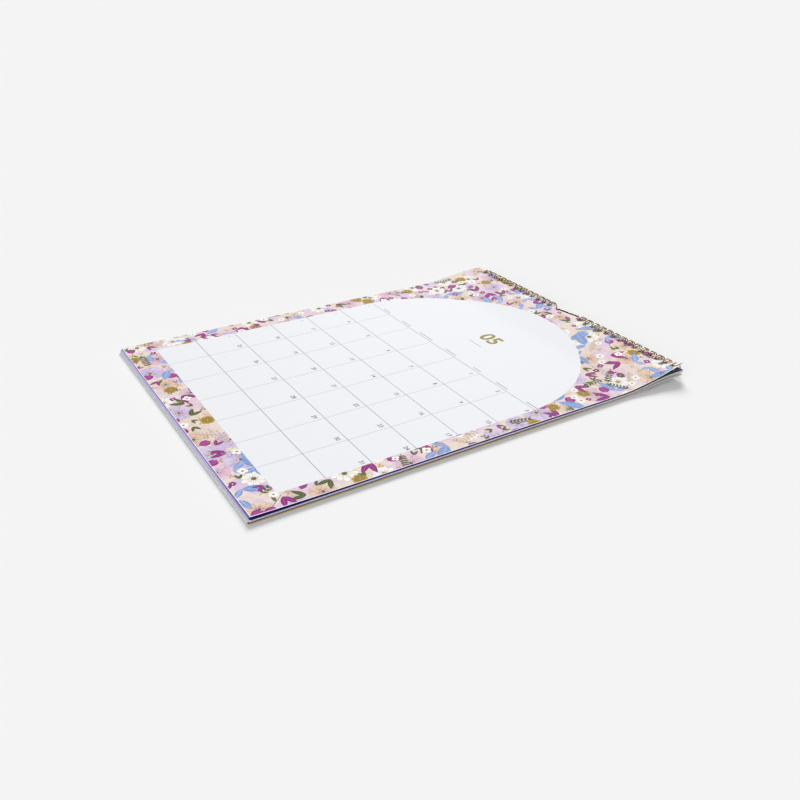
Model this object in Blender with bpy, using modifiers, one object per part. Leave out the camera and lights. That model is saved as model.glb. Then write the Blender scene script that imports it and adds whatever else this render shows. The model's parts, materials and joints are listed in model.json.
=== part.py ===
"""A wall calendar bound with twin-loop wire, lying on its back with one month uppermost.

Metres, +Z up. The leaves lie in XY: +X is the leaf's right, +Y its bound top edge.
The table is z = 0. The leaves lie flat on it and climb to the rings at the bound edge.
"""

import math

import bmesh
import bpy

# Leaves
LEAF_WIDTH = 0.2794
LEAF_HEIGHT = 0.381
LEAF_THICKNESS = 0.00025
LEAF_CORNER = 0.001
LEAVES_AHEAD = 7
LEAVES_TURNED = 5
EDGE_GROOVE = 0.0005
EDGE_SCATTER = 0.00035

# Twin-loop wire, three loops to the inch
LOOP_PITCH = 0.0254 / 3
RING_BORE = 0.0095
WIRE = 0.001
PRONG_SPACING = 0.0026
PRONG_CORNER = 0.0006
MARGIN_LEFT = 0.0165
MARGIN_RIGHT = 0.008
GAP_PITCHES = 5
ROOT_ANGLE = math.radians(176)
RING_STEPS = 12

# Punching
HOLE_PLAY = 0.0003
HOLE_TO_EDGE = 0.0053
NOTCH_FLOOR_WIDTH = 0.024
NOTCH_MOUTH_WIDTH = 0.034
NOTCH_CORNER = 0.004

# Hanger
HANGER_WIRE = 0.0016
HANGER_LENGTH = 0.150
HANGER_RISE = 0.0033
HANGER_FOOT_WIDTH = 0.0266
HANGER_TOP_WIDTH = 0.019
HANGER_LEG_STEPS = 6
HANGER_TILT = math.radians(52)

# How the leaves lie
CLEARANCE = 0.0003
FLAT_BY_RINGS = 0.010
CLIMB_LENGTH = 0.055
CORNER_CURL = 0.006
CORNER_CURL_LENGTH = 0.035
FOOT_LIFT = 0.003
FOOT_LIFT_REACH = 0.090

# Mesh steps across and along a leaf
LEAF_COLUMNS = 7
LEAF_ROWS = 26

# Below, y is measured from the ring axis and z from the table.
RING_RADIUS = (RING_BORE + WIRE) / 2
RING_Z = RING_RADIUS + WIRE / 2
SPINE_Z = RING_Z + RING_RADIUS * math.sin(ROOT_ANGLE)

# Each stack of leaves: its thickness, and its underside on the table and at the rings.
# At the rings the wire's spine lies between the turned leaves and the ones ahead.
TURNED_STACK = LEAVES_TURNED * LEAF_THICKNESS
AHEAD_STACK = LEAVES_AHEAD * LEAF_THICKNESS
TURNED_Z = 0.0
AHEAD_Z = TURNED_Z + TURNED_STACK + CLEARANCE
CURRENT_Z = AHEAD_Z + AHEAD_STACK + CLEARANCE
TURNED_RING_Z = SPINE_Z - WIRE / 2 - CLEARANCE - TURNED_STACK
AHEAD_RING_Z = SPINE_Z + WIRE / 2 + CLEARANCE
CURRENT_RING_Z = AHEAD_RING_Z + AHEAD_STACK + CLEARANCE


def hole_line(z):
    """Where a leaf at height z hangs on the ring circle."""
    return -math.sqrt(RING_RADIUS ** 2 - (z - RING_Z) ** 2)


def top_edge(z):
    return hole_line(z) + HOLE_TO_EDGE


def scatter(number):
    """A leaf's small misregister along Y in its stack."""
    return EDGE_SCATTER * math.sin(2.4 * number)


# The hanger's arms lie against the top edges of the turned leaves.
ARM_Z = TURNED_RING_Z + TURNED_STACK / 2
ARM_Y = top_edge(ARM_Z) + EDGE_SCATTER + CLEARANCE + HANGER_WIRE / 2

# The notch clears the hanger's arch at every angle of the arch and of the leaf.
ARCH_REACH = math.hypot(ARM_Y, ARM_Z - RING_Z) + HANGER_RISE + HANGER_WIRE / 2 + CLEARANCE
NOTCH_FLOOR_Y = -math.sqrt(ARCH_REACH ** 2 - (CURRENT_RING_Z - RING_Z) ** 2)

# World place of the ring axis, which centres the whole calendar on the origin
STACK_FOOT = min(top_edge(TURNED_RING_Z + (leaf + 0.5) * LEAF_THICKNESS) + scatter(leaf)
                 for leaf in range(LEAVES_TURNED)) - LEAF_HEIGHT
AXIS_Y = -(RING_RADIUS + WIRE / 2 + STACK_FOOT) / 2


def loop_centres(side, margin):
    """Loop centres of one run along X, as many as fit between the middle gap and the margin."""
    first = GAP_PITCHES / 2
    steps = int((LEAF_WIDTH / 2 - margin) / LOOP_PITCH - first)
    return sorted(side * (first + number) * LOOP_PITCH for number in range(steps + 1))


HOLE_SIDE = PRONG_SPACING + WIRE + 2 * HOLE_PLAY
LEFT_LOOPS = loop_centres(-1, MARGIN_LEFT)
RIGHT_LOOPS = loop_centres(1, MARGIN_RIGHT)
CURL_STRIP = LEAF_WIDTH / 2 - RIGHT_LOOPS[-1] - HOLE_SIDE / 2


def smooth(t):
    t = min(max(t, 0.0), 1.0)
    return t * t * (3 - 2 * t)


def climb(y, rise):
    """Height gained at y on the way from the flat of the leaves up to the rings."""
    return rise * smooth((y + FLAT_BY_RINGS + CLIMB_LENGTH) / CLIMB_LENGTH)


def curls(x, y, top):
    """The current leaf's turned-up top right corner and its lifted bottom right one."""
    across = 1 - (LEAF_WIDTH / 2 - x) / CURL_STRIP
    down = 1 - (top - y) / CORNER_CURL_LENGTH
    corner = CORNER_CURL * max(across, 0) * max(down, 0) ** 2
    from_foot = (LEAF_WIDTH / 2 - x) + (y - top + LEAF_HEIGHT)
    foot = FOOT_LIFT * max(1 - from_foot / FOOT_LIFT_REACH, 0) ** 2
    return corner + foot


def clear_scene():
    for obj in list(bpy.data.objects):
        bpy.data.objects.remove(obj, do_unlink=True)


def add_collection(name):
    made = bpy.data.collections.new(name)
    bpy.context.scene.collection.children.link(made)
    return made


def add_material(name, color, roughness, metallic=0.0):
    made = bpy.data.materials.new(name)
    made.use_nodes = True
    shader = made.node_tree.nodes["Principled BSDF"]
    shader.inputs["Base Color"].default_value = (*color, 1.0)
    shader.inputs["Roughness"].default_value = roughness
    shader.inputs["Metallic"].default_value = metallic
    return made


def add_object(name, data, group, paint=None, y=0.0, z=0.0):
    """An object whose origin is y from the ring axis and z above the table."""
    obj = bpy.data.objects.new(name, data)
    obj.location = (0.0, AXIS_Y + y, z)
    group.objects.link(obj)
    if paint:
        data.materials.append(paint)
    return obj


def mesh_from(bm, name):
    mesh = bpy.data.meshes.new(name)
    bm.to_mesh(mesh)
    bm.free()
    return mesh


def leaf_grid(top):
    """A flat grid the size of a leaf, with round corners and a last strip for the curl."""
    bm = bmesh.new()
    bmesh.ops.create_grid(bm, x_segments=LEAF_COLUMNS + 1, y_segments=LEAF_ROWS + 1, size=1.0)
    strip_x = LEAF_WIDTH / 2 - CURL_STRIP
    strip_y = top - 2 * CURL_STRIP
    foot = top - LEAF_HEIGHT
    for vert in bm.verts:
        column = round((vert.co.x + 1) / 2 * (LEAF_COLUMNS + 1))
        row = round((vert.co.y + 1) / 2 * (LEAF_ROWS + 1))
        vert.co.x = -LEAF_WIDTH / 2 + (strip_x + LEAF_WIDTH / 2) * column / LEAF_COLUMNS
        vert.co.y = foot + (strip_y - foot) * row / LEAF_ROWS
        if column > LEAF_COLUMNS:
            vert.co.x = LEAF_WIDTH / 2
        if row > LEAF_ROWS:
            vert.co.y = top
    corners = [vert for vert in bm.verts if len(vert.link_edges) == 2]
    bmesh.ops.bevel(bm, geom=corners, offset=LEAF_CORNER, offset_type='OFFSET', segments=3,
                    profile=0.5, affect='VERTICES')
    return bm


def current_leaf_mesh():
    """The sheet of the uppermost leaf, one face thick, in the frame of the ring axis."""
    top = top_edge(CURRENT_RING_Z + LEAF_THICKNESS / 2)
    bm = leaf_grid(top)
    for vert in bm.verts:
        x, y = vert.co.x, vert.co.y
        height = CURRENT_Z + climb(y, CURRENT_RING_Z - CURRENT_Z) + curls(x, y, top)
        vert.co.z = height - RING_Z
    return mesh_from(bm, "current_leaf")


def stack_mesh(name, leaves, table_z, ring_z):
    """Leaves lofted into one block whose edges step in and out from leaf to leaf."""
    top = top_edge(ring_z + leaves * LEAF_THICKNESS / 2)
    middle = top - LEAF_HEIGHT / 2
    moves = [top_edge(ring_z + (leaf + 0.5) * LEAF_THICKNESS) - top + scatter(leaf)
             for leaf in range(leaves)]
    upper_z = leaves * LEAF_THICKNESS
    levels = []
    for leaf in range(1, leaves):
        levels.append((leaf * LEAF_THICKNESS, (moves[leaf - 1] + moves[leaf]) / 2, EDGE_GROOVE))
        if leaf < leaves - 1:
            levels.append(((leaf + 0.5) * LEAF_THICKNESS, moves[leaf], 0.0))
    levels.append((upper_z, moves[-1], 0.0))

    bm = leaf_grid(top)
    lower = list(bm.verts)
    placed = {vert: (0.0, moves[0], 0.0) for vert in lower}
    border = [edge for edge in bm.edges if edge.is_boundary]
    copies = bmesh.ops.duplicate(bm, geom=lower + list(bm.edges) + list(bm.faces))
    for vert in lower:
        placed[copies["vert_map"][vert]] = levels[-1]
    for level in levels:
        grown = bmesh.ops.extrude_edge_only(bm, edges=border)["geom"]
        fresh = {item for item in grown if isinstance(item, bmesh.types.BMVert)}
        placed.update((vert, level) for vert in fresh)
        border = [edge for edge in grown if isinstance(edge, bmesh.types.BMEdge)
                  and fresh.issuperset(edge.verts)]
    for vert, (height, move, inset) in placed.items():
        x, y = vert.co.x, vert.co.y
        vert.co = (x * (1 - 2 * inset / LEAF_WIDTH),
                   middle + (y - middle) * (1 - 2 * inset / LEAF_HEIGHT) + move,
                   table_z + height + climb(y, ring_z - table_z))
    bmesh.ops.remove_doubles(bm, verts=bm.verts[:], dist=1e-6)
    bmesh.ops.recalc_face_normals(bm, faces=bm.faces[:])
    return mesh_from(bm, name)


def hole_punches(name, z):
    """One square punch for each loop, along the hole line of leaves at height z."""
    bm = bmesh.new()
    height = 4 * RING_Z
    for x in LEFT_LOOPS + RIGHT_LOOPS:
        cube = bmesh.ops.create_cube(bm, size=1.0)["verts"]
        bmesh.ops.scale(bm, vec=(HOLE_SIDE, HOLE_SIDE, height), verts=cube)
        bmesh.ops.translate(bm, vec=(x, hole_line(z), RING_Z), verts=cube)
    return mesh_from(bm, name)


def notch_punch():
    """The flared thumb notch at the middle of the bound edge."""
    bm = bmesh.new()
    cube = bmesh.ops.create_cube(bm, size=2.0)["verts"]
    mouth_y = top_edge(CURRENT_RING_Z)
    flare = (NOTCH_MOUTH_WIDTH - NOTCH_FLOOR_WIDTH) / 2 / (mouth_y - NOTCH_FLOOR_Y)
    beyond_y = mouth_y + RING_RADIUS
    for vert in cube:
        y = NOTCH_FLOOR_Y if vert.co.y < 0 else beyond_y
        half = NOTCH_FLOOR_WIDTH / 2 + flare * (y - NOTCH_FLOOR_Y)
        vert.co = (math.copysign(half, vert.co.x), y, RING_Z + 2 * RING_Z * vert.co.z)
    inner = [edge for edge in bm.edges
             if all(abs(vert.co.y - NOTCH_FLOOR_Y) < 1e-6 for vert in edge.verts)
             and abs(edge.verts[0].co.z - edge.verts[1].co.z) > RING_Z]
    bmesh.ops.bevel(bm, geom=inner, offset=NOTCH_CORNER, offset_type='OFFSET', segments=4,
                    profile=0.5, affect='EDGES')
    return mesh_from(bm, "notch_punch")


def cut(obj, cutter):
    modifier = obj.modifiers.new(cutter.name, 'BOOLEAN')
    modifier.operation = 'DIFFERENCE'
    modifier.solver = 'EXACT'
    modifier.object = cutter


def wire_curve(name, points, diameter, bevel_resolution):
    """A wire with cut ends along a line of points."""
    curve = bpy.data.curves.new(name, 'CURVE')
    curve.dimensions = '3D'
    curve.bevel_depth = diameter / 2
    curve.bevel_resolution = bevel_resolution
    curve.use_fill_caps = True
    spline = curve.splines.new('POLY')
    spline.points.add(len(points) - 1)
    for slot, point in zip(spline.points, points):
        slot.co = (*point, 1.0)
        slot.radius = 1.0
    return curve


def twin_loop_points(centres):
    """One bent wire: along the spine, round a ring, across its tip, back and on."""
    prong = PRONG_SPACING / 2
    corner = PRONG_CORNER / RING_RADIUS
    tip_gap = 2 * math.asin((WIRE + CLEARANCE) / (2 * RING_RADIUS))
    tip_angle = ROOT_ANGLE + tip_gap - 2 * math.pi
    first, last = ROOT_ANGLE - corner, tip_angle + corner
    angles = [first + (last - first) * step / RING_STEPS for step in range(RING_STEPS + 1)]

    def on_ring(x, angle):
        return (x, RING_RADIUS * math.cos(angle), RING_RADIUS * math.sin(angle))

    points = []
    for x in centres:
        points.append(on_ring(x - prong - PRONG_CORNER, ROOT_ANGLE))
        points += [on_ring(x - prong, angle) for angle in angles]
        points.append(on_ring(x - prong + PRONG_CORNER, tip_angle))
        points.append(on_ring(x + prong - PRONG_CORNER, tip_angle))
        points += [on_ring(x + prong, angle) for angle in reversed(angles)]
        points.append(on_ring(x + prong + PRONG_CORNER, ROOT_ANGLE))
    return points


def hanger_points():
    """Straight arms and a low flat-topped arch, tilted about the line of the arms."""
    leg = (HANGER_FOOT_WIDTH - HANGER_TOP_WIDTH) / 2
    right = [(HANGER_TOP_WIDTH / 2 + leg * step / HANGER_LEG_STEPS,
              HANGER_RISE * smooth(1 - step / HANGER_LEG_STEPS))
             for step in range(HANGER_LEG_STEPS + 1)]
    right.append((HANGER_LENGTH / 2, 0.0))
    line = [(-x, rise) for x, rise in reversed(right)] + right
    return [(x, rise * math.cos(HANGER_TILT), rise * math.sin(HANGER_TILT))
            for x, rise in line]


def build():
    clear_scene()
    parts = add_collection("wall_calendar")
    cutters = add_collection("cutters")

    print_white = add_material("printed_leaf", (0.86, 0.80, 0.87), 0.55)
    edge_white = add_material("leaves_ahead", (0.72, 0.66, 0.80), 0.6)
    edge_mint = add_material("leaves_turned", (0.70, 0.80, 0.76), 0.6)
    bronze_left = add_material("bronze_wire_left", (0.45, 0.35, 0.20), 0.35, 1.0)
    bronze_right = add_material("bronze_wire_right", (0.45, 0.35, 0.20), 0.35, 1.0)
    bronze_hanger = add_material("bronze_hanger", (0.36, 0.28, 0.15), 0.35, 1.0)

    current = add_object("current_leaf", current_leaf_mesh(), parts, print_white, z=RING_Z)
    ahead = add_object("leaves_ahead", stack_mesh("leaves_ahead", LEAVES_AHEAD, AHEAD_Z,
                                                  AHEAD_RING_Z), parts, edge_white)
    turned = add_object("turned_leaves", stack_mesh("turned_leaves", LEAVES_TURNED, TURNED_Z,
                                                    TURNED_RING_Z), parts, edge_mint)
    solidify = current.modifiers.new("thickness", 'SOLIDIFY')
    solidify.thickness = LEAF_THICKNESS
    solidify.offset = 1.0

    notch = add_object("notch_punch", notch_punch(), cutters)
    stacks = [(current, CURRENT_RING_Z + LEAF_THICKNESS / 2),
              (ahead, AHEAD_RING_Z + AHEAD_STACK / 2),
              (turned, TURNED_RING_Z + TURNED_STACK / 2)]
    for leaf, z in stacks:
        name = leaf.name + "_holes"
        cut(leaf, add_object(name, hole_punches(name, z), cutters))
        cut(leaf, notch)
    for cutter in cutters.objects:
        cutter.hide_render = True
        cutter.display_type = 'WIRE'

    left = wire_curve("left_binding_wire", twin_loop_points(LEFT_LOOPS), WIRE, 1)
    right = wire_curve("right_binding_wire", twin_loop_points(RIGHT_LOOPS), WIRE, 1)
    add_object("left_binding_wire", left, parts, bronze_left, z=RING_Z)
    add_object("right_binding_wire", right, parts, bronze_right, z=RING_Z)
    add_object("hanger", wire_curve("hanger", hanger_points(), HANGER_WIRE, 2),
               parts, bronze_hanger, y=ARM_Y, z=ARM_Z)


build()
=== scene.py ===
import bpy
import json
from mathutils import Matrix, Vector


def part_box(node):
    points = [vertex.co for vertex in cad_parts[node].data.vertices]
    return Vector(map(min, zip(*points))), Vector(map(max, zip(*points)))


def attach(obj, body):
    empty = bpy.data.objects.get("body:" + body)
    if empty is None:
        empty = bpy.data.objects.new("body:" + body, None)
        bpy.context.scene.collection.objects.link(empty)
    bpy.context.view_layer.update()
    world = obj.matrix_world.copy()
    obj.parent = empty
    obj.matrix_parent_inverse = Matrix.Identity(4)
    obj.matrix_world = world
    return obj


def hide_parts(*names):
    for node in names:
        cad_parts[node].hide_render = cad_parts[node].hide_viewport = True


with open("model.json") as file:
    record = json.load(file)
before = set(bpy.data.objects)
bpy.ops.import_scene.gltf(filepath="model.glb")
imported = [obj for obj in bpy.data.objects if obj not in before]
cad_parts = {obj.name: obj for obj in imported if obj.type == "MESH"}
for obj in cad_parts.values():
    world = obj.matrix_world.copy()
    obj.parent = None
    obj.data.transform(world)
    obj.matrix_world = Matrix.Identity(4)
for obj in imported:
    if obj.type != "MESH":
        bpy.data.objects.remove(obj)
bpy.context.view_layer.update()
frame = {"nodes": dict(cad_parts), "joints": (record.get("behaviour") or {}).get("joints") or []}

import json
import math
import random

import bpy
import numpy as np
from mathutils import Matrix, Vector
from mathutils.geometry import delaunay_2d_cdt

scene = bpy.context.scene
mm = 0.001
sharpAngles = {"card": 35.0, "wire": 50.0}      # degrees past which an edge isn't smoothed
print("frame loaded:", sorted(frame["nodes"]))


# Helpers for node trees, used by the materials and by the geometry nodes.
def addNode(tree, kind, feeds=None, **settings):
    made = tree.nodes.new(kind)
    for key, value in settings.items():
        setattr(made, key, value)
    for slot, feed in (feeds or {}).items():
        if isinstance(feed, bpy.types.NodeSocket):
            tree.links.new(feed, made.inputs[slot])
        else:
            made.inputs[slot].default_value = feed
    return made


def calc(tree, operation, *values):
    return addNode(tree, "ShaderNodeMath", dict(enumerate(values)), operation=operation).outputs[0]


def splitVector(tree, vector):
    return addNode(tree, "ShaderNodeSeparateXYZ", {0: vector}).outputs


def ranged(tree, value, low, high, toLow=0.0, toHigh=1.0, **settings):
    feeds = {"Value": value, "From Min": low, "From Max": high, "To Min": toLow, "To Max": toHigh}
    return addNode(tree, "ShaderNodeMapRange", feeds, **settings).outputs[0]


# '#rrggbb' as the linear colour that Blender works in.
def ink(code):
    channels = [int(code[start:start + 2], 16) / 255 for start in (1, 3, 5)]
    return tuple(c / 12.92 if c <= 0.04045 else ((c + 0.055) / 1.055) ** 2.4 for c in channels)


def linkPiece(name, data, material=None):
    piece = bpy.data.objects.new(name, data)
    scene.collection.objects.link(piece)
    if material:
        data.materials.append(material)
    return piece


# A plain mesh of an object's curve, text or modifiers; the object is removed.
def evaluatedMesh(source):
    bpy.context.view_layer.update()
    made = bpy.data.meshes.new_from_object(source.evaluated_get(bpy.context.evaluated_depsgraph_get()))
    bpy.data.objects.remove(source)
    return made


# The binding and the leaves, in millimetres and degrees. Their place comes from the frame.
axisY, axisZ = frame["joints"][0]["pos_m"][1:]
armY, armZ = frame["joints"][1]["pos_m"][1:]
topLeafLow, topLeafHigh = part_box("current_leaf")

binding = {
    "loopPitch": 25.4 / 3, "loopsLeft": 13, "loopsRight": 14,
    "gapPitches": 5,        # from the last left loop to the first right one
    "ringRadius": 5.25, "wire": 1.0, "clearance": 0.3,
    "rootAngle": 176.0,     # where the spine lies on the ring
}

leafShape = {
    "width": (topLeafHigh.x - topLeafLow.x) / mm, "height": 381.0, "corner": 0.8,
    "sheet": 0.22,          # card thickness
    "pitch": 0.25,          # one leaf to the next in a stack
    "ahead": 7, "turned": 5,
    "holeSide": 4.2, "holeRound": 0.7, "holeToEdge": 5.3,
    "notchFloor": 24.0, "notchMouth": 34.0, "notchDepth": 6.6, "notchRound": 4.0,
    "flatByRings": 10.0,
    "climb": 55.0,          # from the table up to the rings
    "bendReach": 75.0,
    "bendStep": 4.0,        # closer rows of points where the leaves bend
    "edgeStep": 5.0,
}


def loopPlaces():
    first, pitch = binding["gapPitches"] / 2, binding["loopPitch"]
    left = [-(first + n) * pitch for n in range(binding["loopsLeft"])]
    right = [(first + n) * pitch for n in range(binding["loopsRight"])]
    return sorted(left + right)


# The level that lies a number of leaves higher.
def levelAbove(level, leaves, gap=0.0):
    rise = leaves * leafShape["pitch"] + gap
    return {"tableZ": level["tableZ"] + rise, "ringZ": level["ringZ"] + rise}


# The underside of each stack, on the table and at the rings. At the rings the wire's spine lies
# between the turned leaves and the ones ahead.
spineZ = axisZ / mm + binding["ringRadius"] * math.sin(math.radians(binding["rootAngle"]))
standOff = binding["wire"] / 2 + binding["clearance"]
turnedHeight = leafShape["turned"] * leafShape["pitch"]
turnedLevel = {"tableZ": 0.0, "ringZ": spineZ - standOff - turnedHeight}
aheadLevel = {"tableZ": turnedHeight + binding["clearance"], "ringZ": spineZ + standOff}
topLevel = levelAbove(aheadLevel, leafShape["ahead"], binding["clearance"])


# Flat outlines, in millimetres.
def arcPoints(cx, cy, radius, start, end, steps):
    turns = [math.radians(start + (end - start) * k / steps) for k in range(steps + 1)]
    return [(cx + radius * math.cos(turn), cy + radius * math.sin(turn)) for turn in turns]


def roundBox(x0, y0, x1, y1, radius, steps):
    left, right, low, high = x0 + radius, x1 - radius, y0 + radius, y1 - radius
    middles = ((right, high, 0), (left, high, 90), (left, low, 180), (right, low, 270))
    return [point for x, y, start in middles for point in arcPoints(x, y, radius, start, start + 90, steps)]


def leafOutline(left, right, foot):
    corner = leafShape["corner"]
    floorHalf, mouthHalf = leafShape["notchFloor"] / 2, leafShape["notchMouth"] / 2
    depth, bend = leafShape["notchDepth"], leafShape["notchRound"]
    slope = math.degrees(math.atan2(depth, mouthHalf - floorHalf))
    inward = bend * math.tan(math.radians(slope / 2))
    notch = arcPoints(floorHalf - inward, -depth + bend, bend, slope - 90, -90, 5)
    outline = arcPoints(right - corner, foot + corner, corner, 270, 360, 3)
    outline += arcPoints(right - corner, -corner, corner, 0, 90, 3)
    outline += [(mouthHalf, 0.0)] + notch + [(-x, y) for x, y in reversed(notch)] + [(-mouthHalf, 0.0)]
    outline += arcPoints(left + corner, -corner, corner, 90, 180, 3)
    outline += arcPoints(left + corner, foot + corner, corner, 180, 270, 3)
    dense = []
    for (x0, y0), (x1, y1) in zip(outline, outline[1:] + outline[:1]):
        parts = max(1, math.ceil(math.hypot(x1 - x0, y1 - y0) / leafShape["edgeStep"]))
        dense += [(x0 + (x1 - x0) * k / parts, y0 + (y1 - y0) * k / parts) for k in range(parts)]
    return dense


def holeOutlines():
    half = leafShape["holeSide"] / 2
    y = -leafShape["holeToEdge"]
    return [roundBox(x - half, y - half, x + half, y + half, leafShape["holeRound"], 2)
            for x in loopPlaces()]


# Printed shapes: each is an outline, an ink and how much the brushwork varies it.
class Print:
    def __init__(self):
        self.shapes = []

    def add(self, outline, colour, brush=1.0):
        ahead = outline[1:] + outline[:1]
        area = sum(x0 * y1 - x1 * y0 for (x0, y0), (x1, y1) in zip(outline, ahead))
        if abs(area) > 1e-4:
            self.shapes.append((outline if area > 0 else outline[::-1], (*ink(colour), brush)))

    def addBox(self, x0, y0, x1, y1, colour, brush=0.0):
        self.add([(x0, y0), (x1, y0), (x1, y1), (x0, y1)], colour, brush)


def turned(points, cx, cy, turn):
    c, s = math.cos(turn), math.sin(turn)
    return [(cx + x * c - y * s, cy + x * s + y * c) for x, y in points]


def around(cx, cy, reach, angle):
    return cx + reach * math.cos(angle), cy + reach * math.sin(angle)


def anglesOf(count, turn=0.0):
    return [turn + math.tau * k / count for k in range(count)]


def disc(cx, cy, radius, steps, squash=1.0, turn=0.0):
    ring = [(radius * math.cos(angle), radius * squash * math.sin(angle)) for angle in anglesOf(steps)]
    return turned(ring, cx, cy, turn)


# The silhouette of an open flower, for the palest layer.
def ghostFlower(cx, cy, radius, turn, lobes, steps=30):
    ring = [around(0.0, 0.0, radius * (0.84 + 0.16 * math.cos(lobes * angle)), angle)
            for angle in anglesOf(steps)]
    return turned(ring, cx, cy, turn)


def bothSides(side, cx, cy, turn):
    return turned(side + [(x, -y) for x, y in reversed(side[1:-1])], cx, cy, turn)


# A petal begins at start from the flower's middle and is widest past its half; dent notches its tip.
def petal(cx, cy, turn, start, length, width, blunt, steps, dent=0.0):
    ts = [k / steps for k in range(steps + 1)]
    side = [(start + length * t, width / 2 * math.sin(math.pi * t ** blunt) ** 0.75) for t in ts]
    if dent:
        side[-1] = (start + length * (1 - dent), 0.0)
    return bothSides(side, cx, cy, turn)


# A leaf blade with both ends pointed.
def blade(cx, cy, turn, length, width, steps=6, fullness=1.0):
    ts = [k / steps for k in range(steps + 1)]
    side = [(length * t, width / 2 * math.sin(math.pi * t ** 0.85) ** fullness) for t in ts]
    return bothSides(side, cx, cy, turn)


# A brush line along points, from thick to thin.
def stroke(points, thick, thin):
    left, right = [], []
    for k, (x, y) in enumerate(points):
        before, after = points[max(k - 1, 0)], points[min(k + 1, len(points) - 1)]
        dx, dy = after[0] - before[0], after[1] - before[1]
        size = math.hypot(dx, dy) or 1.0
        half = (thick + (thin - thick) * k / (len(points) - 1)) / 2
        left.append((x - dy / size * half, y + dx / size * half))
        right.append((x + dy / size * half, y - dx / size * half))
    return left + right[::-1]


# A straight brush line in a motif's own frame.
def vein(cx, cy, turn, start, end, thick, thin):
    return stroke(turned([start, end], cx, cy, turn), thick, thin)


# Points along a gently bent stem.
def bow(cx, cy, turn, length, bend, steps=5):
    line = [(length * k / steps, bend * math.sin(math.pi * k / steps / 2) ** 2) for k in range(steps + 1)]
    return turned(line, cx, cy, turn)


# The generic flowers, leaves and sprigs of the border. First, five broad petals with fine veins and
# a ring of stamens.
def mallow(page, cx, cy, size, turn, rng, petals, others, edge, heart, stamen):
    radius = size / 2
    for k, angle in enumerate(anglesOf(5, turn)):
        angle += rng.uniform(-0.06, 0.06)
        reach = radius * rng.uniform(0.92, 1.04)
        page.add(petal(cx, cy, angle, radius * 0.06, reach + 0.35, radius * 1.06, 1.9, 7, 0.07), edge)
        page.add(petal(cx, cy, angle, radius * 0.10, reach - 0.15, radius * 0.98, 1.9, 7, 0.07),
                 petals if k % 2 else others)
    for angle in anglesOf(5, turn):
        for spread, end in ((-0.24, 0.6), (0.0, 0.72), (0.24, 0.6)):
            line = [around(cx, cy, reach, angle + spread) for reach in (radius * 0.24, radius * end)]
            page.add(stroke(line, 0.5, 0.2), edge)
    for angle in anglesOf(9, turn):
        page.add(disc(*around(cx, cy, radius * 0.25, angle), 0.42, 6), stamen)
    page.add(disc(cx, cy, radius * 0.15, 9), heart)


# Slim round-ended petals about a domed heart.
def daisy(page, cx, cy, size, turn, rng, petals, edge, heart, stamen):
    radius = size / 2
    for angle in anglesOf(9, turn):
        angle += rng.uniform(-0.08, 0.08)
        reach = radius * rng.uniform(0.86, 1.02)
        page.add(petal(cx, cy, angle, radius * 0.12, reach * 0.86 + 0.35, radius * 0.50 + 0.7, 1.7, 6), edge)
        page.add(petal(cx, cy, angle, radius * 0.14, reach * 0.86, radius * 0.50, 1.7, 6), petals)
    for angle in anglesOf(9, turn):
        line = [around(cx, cy, share * radius, angle) for share in (0.28, 0.6)]
        page.add(stroke(line, 0.42, 0.15), edge)
    page.add(disc(cx, cy, radius * 0.21, 10), heart)
    for angle in anglesOf(5, turn):
        page.add(disc(*around(cx, cy, radius * 0.11, angle), 0.3, 5), stamen)


# Two rings of spoon petals, the inner one darker.
def marigold(page, cx, cy, size, turn, rng, petals, edge, heart, stamen):
    radius = size / 2
    for half, reach, wide, colour in ((0.0, 1.0, 0.62, petals), (0.5, 0.66, 0.40, edge)):
        for k in range(8):
            angle = turn + math.tau * (k + half) / 8 + rng.uniform(-0.05, 0.05)
            spoon = petal(cx, cy, angle, radius * 0.12, radius * reach * 0.88, radius * wide, 2.1, 6)
            page.add(spoon, colour)
    page.add(disc(cx, cy, radius * 0.24, 9), heart)
    page.add(disc(cx, cy, radius * 0.10, 7), stamen)


# A wide leaf with a pale midrib and side veins. Its style holds shares of the leaf and brush widths.
borderLeaf = {
    "points": 9, "fullness": 0.95, "rib": (0.06, 0.92, 0.6, 0.2), "joints": (0.24, 0.40, 0.56, 0.70),
    "veinReach": 0.14, "veinSpread": 0.32, "vein": (0.42, 0.15),
}
edgeLeaf = {
    "points": 12, "fullness": 0.7, "rib": (0.05, 0.94, 0.8, 0.3),
    "joints": (0.16, 0.28, 0.40, 0.52, 0.64, 0.76),
    "veinReach": 0.10, "veinSpread": 0.34, "vein": (0.5, 0.2),
}


def veinedLeaf(page, cx, cy, turn, length, width, style, face, rib, veins):
    page.add(blade(cx, cy, turn, length, width, style["points"], style["fullness"]), face)
    start, end, thick, thin = style["rib"]
    page.add(vein(cx, cy, turn, (length * start, 0.0), (length * end, 0.0), thick, thin), rib)
    for joint in style["joints"]:
        for hand in (-1, 1):
            tip = (length * (joint + style["veinReach"]), hand * width * style["veinSpread"])
            page.add(vein(cx, cy, turn, (length * joint, 0.0), tip, *style["vein"]), veins)


def broadLeaves(page, cx, cy, size, turn, rng, petals, edge):
    for side, share in ((0.0, 1.0), (rng.choice((-1, 1)) * rng.uniform(1.5, 2.0), 0.6)):
        length = size * share
        veinedLeaf(page, cx, cy, turn + side, length, length * 0.42, borderLeaf, petals, edge, edge)


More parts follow.
